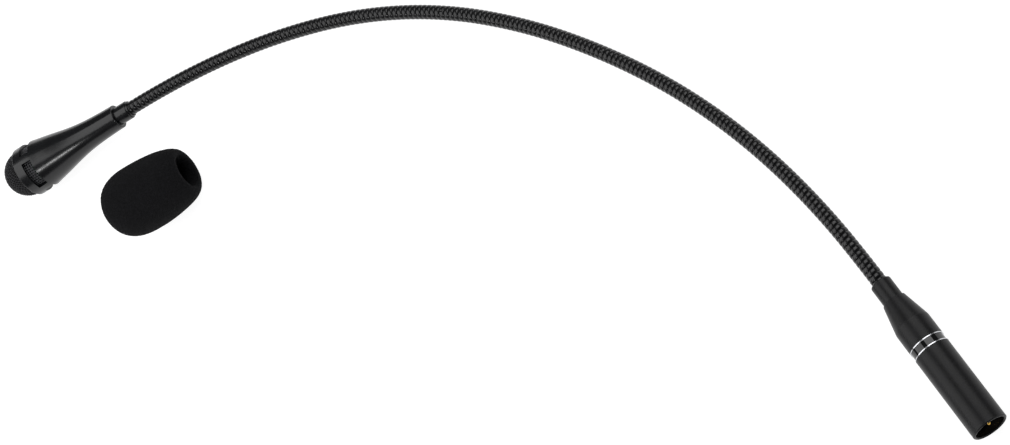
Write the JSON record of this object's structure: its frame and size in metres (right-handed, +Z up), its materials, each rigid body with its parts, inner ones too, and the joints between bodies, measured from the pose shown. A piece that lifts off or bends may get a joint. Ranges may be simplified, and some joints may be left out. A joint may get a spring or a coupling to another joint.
{
  "type": "gooseneck microphone",
  "caption": "Podium microphone with a bendable gooseneck, a flared slotted head under a mesh dome, a three-pin plug with a boot, and a loose foam windscreen beside the head.",
  "frame": {"origin": "centre of the open end of the plug barrel", "axes": "-X is the way the mating socket leaves, +X points along the plug into the neck, +Z is up from the table that the microphone lies on, 9.5 mm under the origin"},
  "size_m": [0.5049, 0.3893, 0.041],
  "materials": {
    "black_painted_shell": "satin black powder coat on aluminium",
    "black_plastic": "moulded black polyamide",
    "gold_contact": "gold plated",
    "spring_bronze": "plain spring bronze",
    "steel_screw": "plain steel",
    "polished_black_ring": "polished black",
    "bright_edge": "turned bright",
    "circuit_laminate": "green solder mask",
    "component_black": "moulded",
    "resistor_body": "lacquered",
    "copper_wire": "insulated wire",
    "black_gooseneck_wire": "semi-gloss black lacquer on wound steel wire",
    "cable_sheath": "soft sheath",
    "black_wire_mesh": "black painted woven steel wire",
    "black_clamp_ring": "black anodised",
    "acoustic_foam": "thin open-cell foam",
    "rubber_mount": "moulded",
    "windscreen_foam": "matte open-cell foam"
  },
  "bodies": {
    "plug": {"plug_barrel": "black_painted_shell", "xlr_insert": "black_plastic", "pin_1": "gold_contact", "pin_2": "gold_contact", "pin_3": "gold_contact", "ground_spring": "spring_bronze", "insert_screw": "steel_screw", "trim_ring": "polished_black_ring", "edge_ring_front": "bright_edge", "edge_ring_rear": "bright_edge", "boot": "black_painted_shell", "boot_screws": "steel_screw", "neck_ferrule_bottom": "steel_screw", "ferrule_nut_bottom": "steel_screw", "circuit_board": "circuit_laminate", "board_sleeve": "black_plastic", "capacitors": "component_black", "transistor": "component_black", "resistors": "resistor_body", "pin_wires": "copper_wire", "neck_link_00": "black_gooseneck_wire", "cable_00": "cable_sheath"},
    "link_1": {"neck_link_01": "black_gooseneck_wire", "cable_01": "cable_sheath"},
    "link_2": {"neck_link_02": "black_gooseneck_wire", "cable_02": "cable_sheath"},
    "link_3": {"neck_link_03": "black_gooseneck_wire", "cable_03": "cable_sheath"},
    "link_4": {"neck_link_04": "black_gooseneck_wire", "cable_04": "cable_sheath"},
    "link_5": {"neck_link_05": "black_gooseneck_wire", "cable_05": "cable_sheath"},
    "link_6": {"neck_link_06": "black_gooseneck_wire", "cable_06": "cable_sheath"},
    "link_7": {"neck_link_07": "black_gooseneck_wire", "cable_07": "cable_sheath"},
    "link_8": {"neck_link_08": "black_gooseneck_wire", "cable_08": "cable_sheath"},
    "link_9": {"neck_link_09": "black_gooseneck_wire", "cable_09": "cable_sheath"},
    "head": {"neck_link_10": "black_gooseneck_wire", "cable_10": "cable_sheath", "neck_collar": "black_painted_shell", "neck_ferrule_top": "steel_screw", "ferrule_nut_top": "steel_screw", "head_housing": "black_painted_shell", "slot_mesh": "black_wire_mesh", "dome_grille": "black_wire_mesh", "grille_ring": "black_clamp_ring", "dome_foam": "acoustic_foam", "capsule": "bright_edge", "back_plate": "spring_bronze", "diaphragm_spacer": "black_clamp_ring", "diaphragm": "gold_contact", "capsule_front": "bright_edge", "capsule_holder": "rubber_mount", "fet_board": "circuit_laminate", "capsule_wires": "copper_wire"},
    "windscreen": {"windscreen": "windscreen_foam"}
  },
  "joints": [
    {"name": "neck_turn_01", "type": "hinge", "parent": "plug", "child": "link_1", "pos_m": [0.11814, 0.00041, -0.00031], "axis": [0.0236, 0.0004, 0.9997], "range_deg": [-25, 25]},
    {"name": "neck_lift_02", "type": "hinge", "parent": "link_1", "child": "link_2", "pos_m": [0.17038, 0.00508, -0.00195], "axis": [0.146, -0.9893, -0.004], "range_deg": [0, 25]},
    {"name": "neck_turn_03", "type": "hinge", "parent": "link_2", "child": "link_3", "pos_m": [0.22166, 0.01598, -0.00389], "axis": [0.0358, 0.001, 0.9994], "range_deg": [-25, 25]},
    {"name": "neck_lift_04", "type": "hinge", "parent": "link_3", "child": "link_4", "pos_m": [0.27116, 0.03332, -0.00522], "axis": [0.3905, -0.9205, -0.0119], "range_deg": [0, 25]},
    {"name": "neck_turn_05", "type": "hinge", "parent": "link_4", "child": "link_5", "pos_m": [0.31818, 0.05661, -0.00559], "axis": [0.0045, -0.0121, 0.9999], "range_deg": [-25, 25]},
    {"name": "neck_lift_06", "type": "hinge", "parent": "link_5", "child": "link_6", "pos_m": [0.36172, 0.08585, -0.00502], "axis": [0.6169, -0.787, -0.0111], "range_deg": [0, 25]},
    {"name": "neck_turn_07", "type": "hinge", "parent": "link_6", "child": "link_7", "pos_m": [0.39961, 0.12203, -0.00344], "axis": [-0.0224, -0.0341, 0.9992], "range_deg": [-25, 25]},
    {"name": "neck_lift_08", "type": "hinge", "parent": "link_7", "child": "link_8", "pos_m": [0.42958, 0.16495, -0.00085], "axis": [0.8735, -0.4868, 0.0048], "range_deg": [0, 25]},
    {"name": "neck_turn_09", "type": "hinge", "parent": "link_8", "child": "link_9", "pos_m": [0.45142, 0.21252, 0.00237], "axis": [-0.0356, -0.0554, 0.9978], "range_deg": [-25, 25]},
    {"name": "neck_lift_10", "type": "hinge", "parent": "link_9", "child": "head", "pos_m": [0.46677, 0.26261, 0.00531], "axis": [0.9703, -0.2411, 0.0204], "range_deg": [0, 25]},
    {"name": "windscreen_slide", "type": "slide", "parent": "head", "child": "windscreen", "axis": [0.2181, 0.9759, 0], "range_m": [0, 0.11]}
  ]
}
